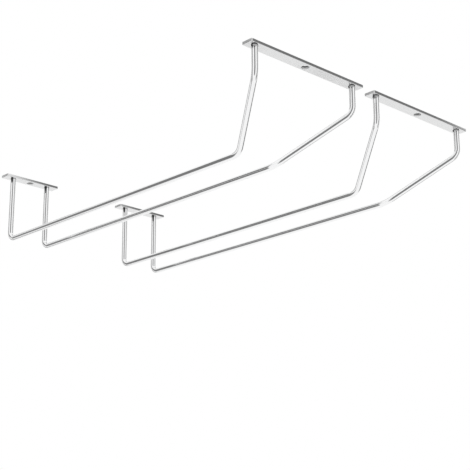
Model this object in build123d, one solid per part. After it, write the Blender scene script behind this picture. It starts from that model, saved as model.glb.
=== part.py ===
from build123d import *
import os

# Pair of hanging wine glass racks in plated wire and flat steel bar.
#
# Each rack hangs from a ceiling or a shelf's underside by two flat bars, and two bent wires run
# between them. The wires start wide apart at the front bar, slope down and inward, and then run
# level and close together as the rails that carry the glasses' feet. At the back each wire turns
# up to a shorter bar. The two racks are alike and hang side by side.
#
# Frame, in millimetres: +Z is up and the ceiling is at Z = 0. X runs along the bars, and the glasses
# go in at the front, at -Y, and slide towards +Y. The origin is at the middle of the four screw holes.

# Overall sizes
rack_length = 340.0  # over both bars, from front to back
rack_depth = 59.0  # from the ceiling down to the rails' underside
rack_gap = 12.0  # between the ends of the two racks' front bars

# Flat bars that take the screws
bar_width = 9.5
bar_thickness = 2.0
bar_corner_radius = 0.8
bar_edge_chamfer = 0.4  # round the edges that face down
front_bar_margin = 7.25  # from a wire's middle to the bar's end
rear_bar_margin = 9.0

# Screw hole in the middle of each bar, countersunk from below at 90 degrees
screw_hole_diameter = 4.2
countersink_depth = 0.8

# Bent wires, with spacings and drops measured to the wires' middle
wire_diameter = 4.5
mouth_spacing = 97.5  # between a rack's wires at the front bar
rail_spacing = 35.0  # between a rack's rails
mouth_drop = 22.0  # from the ceiling down to the first bend's corner
slope_run = 48.0  # how far back the sloping stretch reaches
mouth_bend_radius = 10.0
rail_bend_radius = 16.0
rear_bend_radius = 6.5

# Weld that joins the top of each wire to the bar above it
weld_leg = 0.5  # how far it spreads over the bar, from the wire's side
weld_height = 0.65  # from the bar down to the wire's end

# Lengths and places worked out from the sizes
front_bar_length = mouth_spacing + 2 * front_bar_margin
rear_bar_length = rail_spacing + 2 * rear_bar_margin
rack_pitch = front_bar_length + rack_gap
front_y = -(rack_length - bar_width) / 2
rear_y = -front_y
bar_underside = -bar_thickness
wire_top = bar_underside - weld_height
rail_z = wire_diameter / 2 - rack_depth
sides = {"left": -1, "right": 1}


def screw_bar(length):
    """A flat bar under the ceiling, with eased edges and a screw hole that is countersunk below."""
    bar = Box(length, bar_width, bar_thickness, align=(Align.CENTER, Align.CENTER, Align.MAX))
    bar = fillet(bar.edges().filter_by(Axis.Z), bar_corner_radius)
    bar = chamfer(bar.faces().sort_by(Axis.Z)[0].edges(), bar_edge_chamfer)
    hole_radius = screw_hole_diameter / 2
    bar -= Cylinder(hole_radius, bar_thickness, align=(Align.CENTER, Align.CENTER, Align.MAX))
    countersink = Cone(
        hole_radius + countersink_depth,
        hole_radius,
        countersink_depth,
        align=(Align.CENTER, Align.CENTER, Align.MIN),
    )
    return bar - Pos(Z=bar_underside) * countersink


def bent_wire(side):
    """One wire from bar to bar, bent in three places; side is -1 on the left and 1 on the right."""
    mouth_x = side * mouth_spacing / 2
    rail_x = side * rail_spacing / 2
    start = Vector(mouth_x, front_y, wire_top)
    path = FilletPolyline(
        start,
        (mouth_x, front_y, -mouth_drop),
        (rail_x, front_y + slope_run, rail_z),
        (rail_x, rear_y, rail_z),
        (rail_x, rear_y, wire_top),
        radius=[mouth_bend_radius, rail_bend_radius, rear_bend_radius],
    )
    section = Plane(origin=start, z_dir=(0, 0, -1)) * Circle(wire_diameter / 2)
    return sweep(section, path=path)


def weld_bead():
    """The weld under a bar, as wide as the wire at its foot and spread out at the bar."""
    wire_radius = wire_diameter / 2
    weld = Cone(wire_radius, wire_radius + weld_leg, weld_height, align=(Align.CENTER, Align.CENTER, Align.MIN))
    return Pos(Z=wire_top) * weld


def rack_pieces():
    """All pieces of one rack by name, with the rack's middle at X = 0."""
    pieces = {
        "front_bar": Pos(Y=front_y) * screw_bar(front_bar_length),
        "rear_bar": Pos(Y=rear_y) * screw_bar(rear_bar_length),
    }
    for side_name, side in sides.items():
        pieces[f"{side_name}_wire"] = bent_wire(side)
        for end_name, spacing, y in (("front", mouth_spacing, front_y), ("rear", rail_spacing, rear_y)):
            pieces[f"{end_name}_{side_name}_weld"] = Pos(side * spacing / 2, y) * weld_bead()
    return pieces


os.makedirs("parts", exist_ok=True)
for rack_name, rack_side in sides.items():
    for piece_name, piece in rack_pieces().items():
        placed = Pos(X=rack_side * rack_pitch / 2) * piece
        placed.label = f"{rack_name}_rack_{piece_name}"
        export_step(placed, f"parts/{placed.label}.step")
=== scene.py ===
"""Looks of a pair of hanging wine glass racks: plated wires, satin flat bars and dark weld beads.

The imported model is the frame. Its wires, bars and beads are replaced one for one by smooth meshes of
the same size and place. Everything is in metres, with the ceiling at Z = 0.
"""
import math
from collections import namedtuple

import bpy
from mathutils import Matrix, Vector, noise
from mathutils.geometry import delaunay_2d_cdt


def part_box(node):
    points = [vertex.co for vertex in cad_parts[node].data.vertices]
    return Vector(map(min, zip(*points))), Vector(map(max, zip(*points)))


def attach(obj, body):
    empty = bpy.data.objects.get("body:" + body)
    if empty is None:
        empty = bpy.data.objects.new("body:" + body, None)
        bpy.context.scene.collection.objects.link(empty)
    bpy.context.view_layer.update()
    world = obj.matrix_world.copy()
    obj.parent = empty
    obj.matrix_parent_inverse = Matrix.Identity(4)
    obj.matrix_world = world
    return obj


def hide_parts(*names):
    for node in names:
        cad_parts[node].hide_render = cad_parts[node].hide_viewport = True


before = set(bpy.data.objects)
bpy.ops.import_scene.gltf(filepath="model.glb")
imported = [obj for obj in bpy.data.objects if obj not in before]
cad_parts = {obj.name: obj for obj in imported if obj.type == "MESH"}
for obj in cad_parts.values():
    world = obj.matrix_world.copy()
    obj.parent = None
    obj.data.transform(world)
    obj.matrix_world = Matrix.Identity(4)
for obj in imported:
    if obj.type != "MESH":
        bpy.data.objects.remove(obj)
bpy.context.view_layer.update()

# Racks, and the sides of a rack, as in the names of the nodes
RACKS = ("left", "right")
SIDES = {"left": -1, "right": 1}

FULL_TURN = 360.0
HALF_TURN = 180.0

# Sizes of the bends that a node's box doesn't give
MOUTH_DROP = 0.022  # from the ceiling down to the first bend's corner
SLOPE_RUN = 0.048  # how far back the sloping stretch reaches
MOUTH_BEND_RADIUS = 0.010
RAIL_BEND_RADIUS = 0.016
REAR_BEND_RADIUS = 0.0065
BEND_STEP = math.radians(3)  # between a bend's rings
STRAIGHT_STEP = 0.008  # at most, between a straight run's rings
WIRE_SEGMENTS = 64
SHARP_ANGLE = math.radians(32)

# Bars
BAR_CORNER_RADIUS = 0.0008
BAR_EDGE_RADIUS = 0.0005
FLAT_MARGIN = 0.0001  # between a rounded edge and the flat faces' own corners, so that they shade flat
HOLE_RADIUS = 0.0021
COUNTERSINK_DEPTH = 0.0008
CORNER_STEPS = 8
EDGE_STEPS = 4
HOLE_SEGMENTS = 64
FACES_INSIDE_OUTLINE = 1  # what delaunay_2d_cdt gives: triangles inside the outer edges only
SAME_POINT = 1e-7  # corners that lie closer than this are one

# Weld beads: how far they spread over the bar and run down the wire, all round
BEAD_SEGMENTS = 96
BEAD_STEPS = 16
BEAD_SPREAD = 0.0002
BEAD_LENGTH = 0.0004
BEAD_SKIN = 0.0001
BEAD_ROUGHNESS_SHARE = 0.25  # of the bead's size, taken off where its surface dips
BEAD_GRAIN = 900.0  # dips per metre
RUN_LENGTH = 0.0005  # a lobe that is longer is a run, with painted shade all the way down
RUN_SHADE = (0.1, 0.4)  # of a run's lobe, where the painted shade begins and is full
RIM_SHADE = (0.2, 0.45)  # of the way down a bead, where the painted shade at its rim next to the bar begins to clear and has cleared
FOOT_LAP_SHARE = 0.9  # of the wire's radius, where the bead's foot turns in under the wire's skin
# A lobe of a bead: its turn round the wire in degrees, from +Y towards +X, its half width there, and how
# far it spreads and runs down beyond the rest
Lobe = namedtuple("Lobe", "turn half_width spread length")
LOBES = {
    "front_left": (Lobe(-133, 66, 0.0035, 0.0001), Lobe(-92, 28, 0.0002, 0.0018)),
    "front_right": (Lobe(-130, 64, 0.0035, 0.0001), Lobe(-62, 36, 0.0006, 0.0007)),
    "rear_left": (Lobe(-130, 60, 0.0004, 0.0), Lobe(-120, 30, 0.0003, 0.0040)),
    "rear_right": (Lobe(-130, 70, 0.0006, 0.0), Lobe(-125, 30, 0.0002, 0.0054)),
}

# How fine the unevenness of each finish is, as the noise's scale per metre along X, Y and Z, or in every
# direction where it has one value. On a wire the first two go round it, per radius, and the third along it
DRAWN_LINES = (9.0, 9.0, 14.0)
POLISH_CLOUDS = (1.2, 1.2, 60.0)
CROSS_GRAIN = (1500.0, 60.0, 60.0)
BAR_CLOUDS = 90.0
TURNING_MARKS = (300.0, 300.0, 9000.0)
WELD_LUMPS = 1400.0

# The Mix node's sockets for colours, by number, as several of its sockets have the same name
MIX_SHARE = 0
MIX_FIRST_COLOUR = 6
MIX_SECOND_COLOUR = 7
MIXED_COLOUR = 2


class Shade:
    """A socket that takes part in sums, so that 1 - mask adds the Math node it needs."""

    def __init__(self, recipe, socket):
        self.recipe = recipe
        self.socket = socket

    def __add__(self, other):
        return self.recipe.maths("ADD", self, other)

    def __radd__(self, other):
        return self.recipe.maths("ADD", other, self)

    def __sub__(self, other):
        return self.recipe.maths("SUBTRACT", self, other)

    def __rsub__(self, other):
        return self.recipe.maths("SUBTRACT", other, self)

    def __mul__(self, other):
        return self.recipe.maths("MULTIPLY", self, other)

    def __rmul__(self, other):
        return self.recipe.maths("MULTIPLY", other, self)


class Recipe:
    """The nodes of one material or world."""

    def __init__(self, owner):
        owner.use_nodes = True
        self.tree = owner.node_tree
        self.tree.nodes.clear()

    def add(self, kind, settings=None, sockets=None, output=0):
        """Adds a node, sets it up, fills its sockets with values or links, and gives one of its outputs."""
        node = self.tree.nodes.new(kind)
        for name, value in (settings or {}).items():
            setattr(node, name, value)
        for name, value in (sockets or {}).items():
            if isinstance(value, Shade):
                self.tree.links.new(value.socket, node.inputs[name])
            else:
                node.inputs[name].default_value = value
        return Shade(self, node.outputs[output]) if len(node.outputs) else None

    def maths(self, operation, *values):
        return self.add("ShaderNodeMath", {"operation": operation}, dict(enumerate(values)))

    def blend(self, share, first, second):
        """A colour between two colours."""
        sockets = {MIX_SHARE: share, MIX_FIRST_COLOUR: first, MIX_SECOND_COLOUR: second}
        return self.add("ShaderNodeMix", {"data_type": "RGBA"}, sockets, output=MIXED_COLOUR)

    def ease(self, value, start, end):
        """0 before start, 1 after end, and smooth between them."""
        return self.add(
            "ShaderNodeMapRange",
            {"interpolation_type": "SMOOTHSTEP"},
            {"Value": value, "From Min": start, "From Max": end},
        )

    def grain(self, place, scale, detail):
        """Noise from 0 to 1."""
        return self.add("ShaderNodeTexNoise", None, {"Vector": place, "Scale": scale, "Detail": detail})

    def stretched_grain(self, place, scales, detail):
        """Noise from 0 to 1 that is finer in some directions than in others."""
        stretched = self.add("ShaderNodeVectorMath", {"operation": "MULTIPLY"}, {0: place, 1: scales})
        return self.grain(stretched, 1.0, detail)

    def along(self, direction, axis):
        """One of a direction's parts, along X, Y or Z."""
        return self.add("ShaderNodeSeparateXYZ", None, {"Vector": direction}, output=axis)

    def bump(self, height, strength, distance):
        sockets = {"Strength": strength, "Distance": distance, "Height": height}
        return self.add("ShaderNodeBump", None, sockets)

    def end_as_metal(self, colour, roughness, bump):
        """The last nodes of a bare metal's material."""
        sockets = {"Base Color": colour, "Metallic": 1.0, "Roughness": roughness, "Normal": bump}
        shader = self.add("ShaderNodeBsdfPrincipled", None, sockets)
        self.add("ShaderNodeOutputMaterial", None, {"Surface": shader})


def grey(level, tint=0.0):
    """A neutral metal colour, a little cool where tint is above 0."""
    return (level - tint, level - tint / 2, level, 1.0)


def plated_wire():
    """Bright plating on drawn wire: fine lines along the wire and a faint unevenness of the polish."""
    material = bpy.data.materials.new("plated_wire")
    recipe = Recipe(material)
    place = recipe.add("ShaderNodeAttribute", {"attribute_name": "wire_place"}, output="Vector")
    drawn_lines = recipe.stretched_grain(place, DRAWN_LINES, detail=3.0)
    polish = recipe.stretched_grain(place, POLISH_CLOUDS, detail=3.0)
    colour = recipe.blend(polish, grey(0.90, 0.006), grey(0.94, 0.004))
    bump = recipe.bump(drawn_lines + 0.6 * polish, strength=0.03, distance=0.00004)
    recipe.end_as_metal(colour, 0.09 + 0.05 * polish, bump)
    return material


def satin_bar():
    """Flat bar with a grain that runs across it, dulled by plating, and duller still at its sheared ends."""
    material = bpy.data.materials.new("satin_bar")
    recipe = Recipe(material)
    place = recipe.add("ShaderNodeTexCoord", output="Object")
    across = recipe.stretched_grain(place, CROSS_GRAIN, detail=3.0)
    clouds = recipe.grain(place, BAR_CLOUDS, detail=3.0)
    facing = recipe.add("ShaderNodeTexCoord", output="Normal")
    endways = recipe.along(facing, "X")
    upright = recipe.along(facing, "Z")
    flat = recipe.ease(recipe.maths("ABSOLUTE", upright), 0.6, 0.95)
    sheared = recipe.ease(recipe.maths("ABSOLUTE", endways), 0.7, 0.98)
    colour = recipe.blend(across, grey(0.73, 0.004), grey(0.80, 0.004))
    bump = recipe.bump(across + 0.4 * clouds, strength=0.10, distance=0.00006)
    roughness = 0.12 + 0.03 * clouds + flat * (0.04 + 0.06 * clouds) + 0.25 * sheared
    recipe.end_as_metal(colour, roughness, bump)
    return material


def bore_steel_with_painted_shade():
    """Dull steel inside a screw hole, with painted shade: near-black in the bore for the hole's shadow, paler
    in the countersink, with turning marks.
    """
    material = bpy.data.materials.new("bore_steel_with_painted_shade")
    recipe = Recipe(material)
    place = recipe.add("ShaderNodeTexCoord", output="Object")
    turned = recipe.stretched_grain(place, TURNING_MARKS, detail=2.0)
    facing = recipe.add("ShaderNodeTexCoord", output="Normal")
    upright = recipe.along(facing, "Z")
    sloping = recipe.ease(recipe.maths("ABSOLUTE", upright), 0.2, 0.6)
    # Painted shade: the upright bore walls are painted near-black as the hole's shadow; the sloping
    # countersink keeps the dull steel's paler grey
    colour = recipe.blend(
        sloping,
        recipe.blend(turned, grey(0.10), grey(0.19, 0.004)),
        recipe.blend(turned, grey(0.50), grey(0.62, 0.004)),
    )
    bump = recipe.bump(turned, strength=0.3, distance=0.00005)
    recipe.end_as_metal(colour, 0.42 + 0.1 * turned, bump)
    return material


def weld_with_painted_shade():
    """Rough weld, painted near-black at its rim next to the bar and down its runs as the shade of the crevice
    there, with the plating on the rest and on high spots.
    """
    material = bpy.data.materials.new("weld_with_painted_shade")
    recipe = Recipe(material)
    place = recipe.add("ShaderNodeTexCoord", output="Object")
    lumps = recipe.grain(place, WELD_LUMPS, detail=4.0)
    high_spots = recipe.ease(lumps, 0.35, 0.7)
    joint_shade = recipe.add("ShaderNodeAttribute", {"attribute_name": "joint_shade"}, output="Fac")
    # Painted shade: where the attribute is 1, at the crevice between wire and bar and down the runs, the weld
    # is painted near-black
    colour = recipe.blend(
        joint_shade,
        recipe.blend(high_spots, grey(0.50), grey(0.70, 0.005)),
        recipe.blend(high_spots, grey(0.02), grey(0.12, 0.004)),
    )
    bump = recipe.bump(lumps, strength=0.5, distance=0.0002)
    recipe.end_as_metal(colour, 0.35 + joint_shade * (0.27 - 0.2 * high_spots), bump)
    return material


def mesh_piece(name, vertices, faces, material):
    """An object from vertices and faces, smooth except across its sharp edges."""
    mesh = bpy.data.meshes.new(name)
    mesh.from_pydata(vertices, [], faces)
    mesh.polygons.foreach_set("use_smooth", [True] * len(mesh.polygons))
    mesh.set_sharp_from_angle(angle=SHARP_ANGLE)
    mesh.materials.append(material)
    piece = bpy.data.objects.new(name, mesh)
    bpy.context.scene.collection.objects.link(piece)
    return piece


def dress(piece, node):
    """The piece stands for that node and moves with the object."""
    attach(piece, "root")
    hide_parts(node)


def wire_line(corners, radii):
    """Points and directions along a wire's middle: straight runs between corners, with arcs in them."""
    line = [(corners[0], (corners[1] - corners[0]).normalized())]
    for before, corner, after, radius in zip(corners, corners[1:], corners[2:], radii):
        inward = (corner - before).normalized()
        outward = (after - corner).normalized()
        turn = inward.angle(outward)
        start = corner - inward * radius * math.tan(turn / 2)
        to_centre = (outward - inward * inward.dot(outward)).normalized()
        steps = math.ceil(turn / BEND_STEP)
        for step in range(steps + 1):
            angle = turn * step / steps
            point = start + inward * radius * math.sin(angle) + to_centre * radius * (1 - math.cos(angle))
            line.append((point, inward * math.cos(angle) + to_centre * math.sin(angle)))
    line.append((corners[-1], (corners[-1] - corners[-2]).normalized()))
    divided = line[:1]
    for (here, direction), (there, next_direction) in zip(line, line[1:]):
        steps = math.ceil((there - here).length / STRAIGHT_STEP)
        divided += [(here.lerp(there, step / steps), direction) for step in range(1, steps)]
        divided.append((there, next_direction))
    return divided


def wire_mesh(name, line, radius, material):
    """A round bar along the line, closed at both ends, with each point's place round and along it."""
    vertices, places = [], []
    travelled, last_point, last_direction = 0.0, line[0][0], line[0][1]
    sideways = last_direction.orthogonal().normalized()
    for point, direction in line:
        sideways.rotate(last_direction.rotation_difference(direction))
        sideways = (sideways - direction * sideways.dot(direction)).normalized()
        upward = direction.cross(sideways)
        travelled += (point - last_point).length
        last_point, last_direction = point, direction
        for segment in range(WIRE_SEGMENTS):
            angle = 2 * math.pi * segment / WIRE_SEGMENTS
            vertices.append(point + (sideways * math.cos(angle) + upward * math.sin(angle)) * radius)
            places.extend((math.cos(angle), math.sin(angle), travelled))
    faces = []
    for ring in range(len(line) - 1):
        for segment in range(WIRE_SEGMENTS):
            here, there = ring * WIRE_SEGMENTS, (ring + 1) * WIRE_SEGMENTS
            following = (segment + 1) % WIRE_SEGMENTS
            faces.append((here + segment, here + following, there + following, there + segment))
    faces.append(tuple(reversed(range(WIRE_SEGMENTS))))
    faces.append(tuple(range(len(vertices) - WIRE_SEGMENTS, len(vertices))))
    piece = mesh_piece(name, vertices, faces, material)
    attribute = piece.data.attributes.new("wire_place", "FLOAT_VECTOR", "POINT")
    attribute.data.foreach_set("vector", places)
    return piece


def wire_radius(rack, side_name):
    """Half the wire's thickness: how far it stands before the middle of its front bar."""
    bar_low, bar_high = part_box(f"{rack}_rack_front_bar")
    return (bar_low.y + bar_high.y) / 2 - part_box(f"{rack}_rack_{side_name}_wire")[0].y


def bent_wire(rack, side_name, material):
    """One wire of a rack, from the underside of its front bar round its bends to its rear bar."""
    node = f"{rack}_rack_{side_name}_wire"
    low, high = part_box(node)
    front_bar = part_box(f"{rack}_rack_front_bar")
    rear_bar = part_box(f"{rack}_rack_rear_bar")
    front_y = (front_bar[0].y + front_bar[1].y) / 2
    rear_y = (rear_bar[0].y + rear_bar[1].y) / 2
    radius = wire_radius(rack, side_name)
    outer_x, inner_x = low.x + radius, high.x - radius
    if SIDES[side_name] > 0:
        outer_x, inner_x = inner_x, outer_x
    rail_z = low.z + radius
    corners = [
        Vector((outer_x, front_y, front_bar[0].z)),
        Vector((outer_x, front_y, -MOUTH_DROP)),
        Vector((inner_x, front_y + SLOPE_RUN, rail_z)),
        Vector((inner_x, rear_y, rail_z)),
        Vector((inner_x, rear_y, rear_bar[0].z)),
    ]
    line = wire_line(corners, (MOUTH_BEND_RADIUS, RAIL_BEND_RADIUS, REAR_BEND_RADIUS))
    piece = wire_mesh(f"{rack}_{side_name}_wire", line, radius, material)
    dress(piece, node)


def rounded_outline(half_length, half_width, corner_radius):
    """A rectangle's outline with round corners, seen from above."""
    outline = []
    for corner, (x_side, y_side) in enumerate(((1, 1), (-1, 1), (-1, -1), (1, -1))):
        for step in range(CORNER_STEPS + 1):
            angle = math.pi / 2 * (corner + step / CORNER_STEPS)
            outline.append((
                x_side * (half_length - corner_radius) + corner_radius * math.cos(angle),
                y_side * (half_width - corner_radius) + corner_radius * math.sin(angle),
            ))
    return outline


def bar_outlines(low, high):
    """Outlines of a bar from its top down, drawn in where its lower edges are rounded."""
    middle = (low + high) / 2
    half_length, half_width = (high.x - low.x) / 2, (high.y - low.y) / 2
    edge_levels = [(0.0, high.z), (0.0, low.z + BAR_EDGE_RADIUS + FLAT_MARGIN)]
    for step in range(EDGE_STEPS + 1):
        angle = math.pi / 2 * step / EDGE_STEPS
        inset = BAR_EDGE_RADIUS * (1 - math.cos(angle))
        edge_levels.append((inset, low.z + BAR_EDGE_RADIUS * (1 - math.sin(angle))))
    edge_levels.append((BAR_EDGE_RADIUS + FLAT_MARGIN, low.z))
    outlines = []
    for inset, z in edge_levels:
        outline = rounded_outline(half_length - inset, half_width - inset, BAR_CORNER_RADIUS - inset)
        outlines.append([(middle.x + x, middle.y + y, z) for x, y in outline])
    return outlines


def hole_circles(low, high):
    """Circles of a bar's screw hole from its top down to the wide end of its countersink."""
    middle = (low + high) / 2
    hole_levels = [
        (HOLE_RADIUS, high.z),
        (HOLE_RADIUS, low.z + COUNTERSINK_DEPTH),
        (HOLE_RADIUS + COUNTERSINK_DEPTH, low.z),
    ]
    angles = [2 * math.pi * segment / HOLE_SEGMENTS for segment in range(HOLE_SEGMENTS)]
    return [
        [(middle.x + radius * math.cos(a), middle.y + radius * math.sin(a), z) for a in angles]
        for radius, z in hole_levels
    ]


def add_walls(vertices, faces, rings, outward):
    """Walls between rings that follow one another; gives the first and the last ring's vertices."""
    starts = []
    for ring in rings:
        starts.append(len(vertices))
        vertices.extend(ring)
    count = len(rings[0])
    for here, there in zip(starts, starts[1:]):
        for spot in range(count):
            following = (spot + 1) % count
            face = (here + spot, there + spot, there + following, here + following)
            faces.append(face if outward else tuple(reversed(face)))
    return range(starts[0], starts[0] + count), range(starts[-1], starts[-1] + count)


def flat_bar(rack, end, material, bore_material):
    """A flat bar with its lower edges rounded over and a countersunk screw hole in its middle."""
    node = f"{rack}_rack_{end}_bar"
    low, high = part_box(node)
    vertices, faces = [], []
    outer_top, outer_bottom = add_walls(vertices, faces, bar_outlines(low, high), True)
    bore_start = len(faces)
    hole_top, hole_bottom = add_walls(vertices, faces, hole_circles(low, high), False)
    for outer, hole, facing_up in ((outer_top, hole_top, True), (outer_bottom, hole_bottom, False)):
        faces.extend(face_round_hole(vertices, list(outer), list(hole), facing_up))
    piece = mesh_piece(f"{rack}_{end}_bar", vertices, faces, material)
    # The hole's walls take the bore's material, with its painted shade
    piece.data.materials.append(bore_material)
    for polygon in piece.data.polygons[bore_start:bore_start + 2 * HOLE_SEGMENTS]:
        polygon.material_index = 1
    dress(piece, node)


def face_round_hole(vertices, outer, hole, facing_up):
    """Flat triangles between an outline and a hole inside it."""
    ring = outer + hole
    flat = [Vector(vertices[index][:2]) for index in ring]
    edges = [(spot, (spot + 1) % len(outer)) for spot in range(len(outer))]
    edges += [(len(outer) + spot, len(outer) + (spot + 1) % len(hole)) for spot in range(len(hole))]
    points, _, triangles, originals, _, _ = delaunay_2d_cdt(flat, edges, [], FACES_INSIDE_OUTLINE, SAME_POINT)
    circle = flat[len(outer):]
    centre = Vector((sum(point.x for point in circle), sum(point.y for point in circle))) / len(circle)
    hole_radius = (flat[-1] - centre).length
    made = []
    for triangle in triangles:
        middle = sum((points[i] for i in triangle), Vector((0.0, 0.0))) / len(triangle)
        if (middle - centre).length < hole_radius:
            continue
        face = [ring[originals[i][0]] for i in triangle]
        made.append(tuple(face) if facing_up else tuple(reversed(face)))
    return made


def smooth_step(value, start, end):
    """0 before start, 1 after end, and smooth between them."""
    share = min(max((value - start) / (end - start), 0.0), 1.0)
    return share * share * (3 - 2 * share)


def bead_reach(lobes, turn):
    """At a turn round the wire, how far a bead spreads and runs down, and how far it is part of a run."""
    spread, length, run = BEAD_SPREAD, BEAD_LENGTH, 0.0
    for lobe in lobes:
        off_lobe = abs((turn - lobe.turn + HALF_TURN) % FULL_TURN - HALF_TURN) / lobe.half_width
        share = 0.5 + 0.5 * math.cos(math.pi * min(off_lobe, 1.0))
        spread += share * lobe.spread
        length += share * lobe.length
        if lobe.length > RUN_LENGTH:
            run = max(run, share)
    return spread, length, run


def weld_bead(rack, end, side_name, material):
    """The uneven weld between a wire's end and the bar above it, with its lobes."""
    node = f"{rack}_rack_{end}_{side_name}_weld"
    low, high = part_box(node)
    middle = (low + high) / 2
    foot = wire_radius(rack, side_name)
    vertices, faces, joint_shade = [], [], []
    for segment in range(BEAD_SEGMENTS):
        turn = FULL_TURN * segment / BEAD_SEGMENTS
        angle = math.radians(turn)
        outward = Vector((math.sin(angle), math.cos(angle), 0.0))
        spread, length, run = bead_reach(LOBES[f"{end}_{side_name}"], turn)
        for step in range(BEAD_STEPS + 1):
            fall = step / BEAD_STEPS
            spot = Vector((middle.x, middle.y, high.z - length * fall)) + outward * foot
            dip = BEAD_ROUGHNESS_SHARE * (0.5 + 0.5 * noise.noise(spot * BEAD_GRAIN))
            thick = spread * (1 - fall) ** 2 + BEAD_SKIN * math.cos(math.pi / 2 * fall)
            out = foot + thick * (1 - dip)
            vertices.append((middle.x + outward.x * out, middle.y + outward.y * out, spot.z))
            # Painted shade: 1 at the bead's rim next to the bar and all down a run, standing in for the
            # crevice's shade
            joint_shade.append(max(1 - smooth_step(fall, *RIM_SHADE), smooth_step(run, *RUN_SHADE)))
        lap = outward * foot * FOOT_LAP_SHARE
        vertices.append((middle.x + lap.x, middle.y + lap.y, high.z - length))
        joint_shade.append(joint_shade[-1])
    count = BEAD_STEPS + 2
    for segment in range(BEAD_SEGMENTS):
        here, there = segment * count, (segment + 1) % BEAD_SEGMENTS * count
        for step in range(count - 1):
            faces.append((here + step, there + step, there + step + 1, here + step + 1))
    faces.append(tuple(reversed(range(0, len(vertices), count))))
    faces.append(tuple(range(count - 1, len(vertices), count)))
    piece = mesh_piece(f"{rack}_{end}_{side_name}_weld", vertices, faces, material)
    attribute = piece.data.attributes.new("joint_shade", "FLOAT", "POINT")
    attribute.data.foreach_set("value", joint_shade)
    dress(piece, node)


# Camera, in the part's frame
CAMERA_PLACE = Vector((-0.6146, -0.6712, -0.3465))
CAMERA_YAW = math.radians(43.785)  # from +Y towards +X
CAMERA_PITCH = math.radians(16.72)  # above the level
CAMERA_ROLL = math.radians(-0.32)
SENSOR_WIDTH = 36.0
PHOTO_WIDTH = 470.0
FOCAL_LENGTH_PIXELS = 1186.8
NEAREST_SEEN = 0.01  # what is nearer to the camera isn't drawn
FLOOR_DROP = 2.4  # a room's height, so that the racks can be looked at from below
FLOOR_SIZE = 200.0


def add_camera():
    """The photograph's view of the racks."""
    camera = bpy.data.cameras.new("camera")
    camera.sensor_width = SENSOR_WIDTH
    camera.lens = FOCAL_LENGTH_PIXELS * SENSOR_WIDTH / PHOTO_WIDTH
    camera.clip_start = NEAREST_SEEN
    holder = bpy.data.objects.new("camera", camera)
    bpy.context.scene.collection.objects.link(holder)
    turn = Matrix.Rotation(-CAMERA_YAW, 3, "Z") @ Matrix.Rotation(math.pi / 2 + CAMERA_PITCH, 3, "X")
    turn = turn @ Matrix.Rotation(CAMERA_ROLL, 3, "Z")
    holder.matrix_world = Matrix.Translation(CAMERA_PLACE) @ turn.to_4x4()
    bpy.context.scene.camera = holder


def add_floor():
    """A pale floor, a room's height below the racks."""
    material = bpy.data.materials.new("pale_floor")
    recipe = Recipe(material)
    shader = recipe.add("ShaderNodeBsdfPrincipled", None, {"Base Color": grey(0.9), "Roughness": 0.9})
    recipe.add("ShaderNodeOutputMaterial", None, {"Surface": shader})
    half = FLOOR_SIZE / 2
    corners = [(x * half, y * half, -FLOOR_DROP) for x, y in ((-1, -1), (1, -1), (1, 1), (-1, 1))]
    floor = mesh_piece("pale_floor", corners, [(0, 1, 2, 3)], material)
    floor.visible_glossy = False


# Dark cards stand round the racks and are seen only in the metal: behind the camera, at both sides, beyond
# the racks on either side of the line of sight, and overhead. Each has its turn to the right of that line
# and its rise above the level, its half sizes and the softness of its edge, in degrees, and its darkness
Card = namedtuple("Card", "turn rise half_width half_height softness darkness")
CARDS = {
    "camera": Card(180, 0, 20, 40, 10, 0.8),
    "left_side": Card(-90, 0, 15, 40, 10, 0.8),
    "right_side": Card(90, 0, 15, 40, 10, 0.8),
    "far_left": Card(-45, 0, 10, 40, 10, 0.8),
    "far_right": Card(45, 0, 10, 40, 10, 0.8),
    "overhead": Card(0, 60, 45, 10, 10, 0.8),
}


def card_mask(recipe, turn, rise, card):
    """The share of light that a card leaves in each direction."""
    off_turn = recipe.maths("ABSOLUTE", recipe.maths("WRAP", turn - card.turn, HALF_TURN, -HALF_TURN))
    off_rise = recipe.maths("ABSOLUTE", rise - card.rise)
    half_soft = card.softness / 2
    outside_width = recipe.ease(off_turn, card.half_width - half_soft, card.half_width + half_soft)
    outside_height = recipe.ease(off_rise, card.half_height - half_soft, card.half_height + half_soft)
    return 1 - card.darkness * ((1 - outside_width) * (1 - outside_height))


def add_world():
    """White all round, with dark cards in it that only the metal mirrors."""
    world = bpy.data.worlds.new("studio")
    bpy.context.scene.world = world
    recipe = Recipe(world)
    direction = recipe.add("ShaderNodeTexCoord", output="Generated")
    x, y, z = [recipe.along(direction, axis) for axis in "XYZ"]
    degrees = HALF_TURN / math.pi
    turn = recipe.maths("ARCTAN2", x, y) * degrees - math.degrees(CAMERA_YAW)
    rise = recipe.maths("ARCSINE", z) * degrees
    mirrored = 1.0
    for card in CARDS.values():
        mirrored = mirrored * card_mask(recipe, turn, rise, card)
    camera_ray = recipe.add("ShaderNodeLightPath", output="Is Camera Ray")
    glossy_ray = recipe.add("ShaderNodeLightPath", output="Is Glossy Ray")
    level = camera_ray + (1 - camera_ray) * (1 - glossy_ray * (1 - mirrored))
    background = recipe.add("ShaderNodeBackground", None, {"Color": grey(1.0), "Strength": level})
    recipe.add("ShaderNodeOutputWorld", None, {"Surface": background})


wire_finish = plated_wire()
bar_finish = satin_bar()
shaded_bore_finish = bore_steel_with_painted_shade()
shaded_weld_finish = weld_with_painted_shade()
for rack in RACKS:
    for end in ("front", "rear"):
        flat_bar(rack, end, bar_finish, shaded_bore_finish)
    for side_name in SIDES:
        bent_wire(rack, side_name, wire_finish)
        for end in ("front", "rear"):
            weld_bead(rack, end, side_name, shaded_weld_finish)

add_camera()
add_floor()
add_world()
bpy.context.scene.view_settings.view_transform = "Standard"
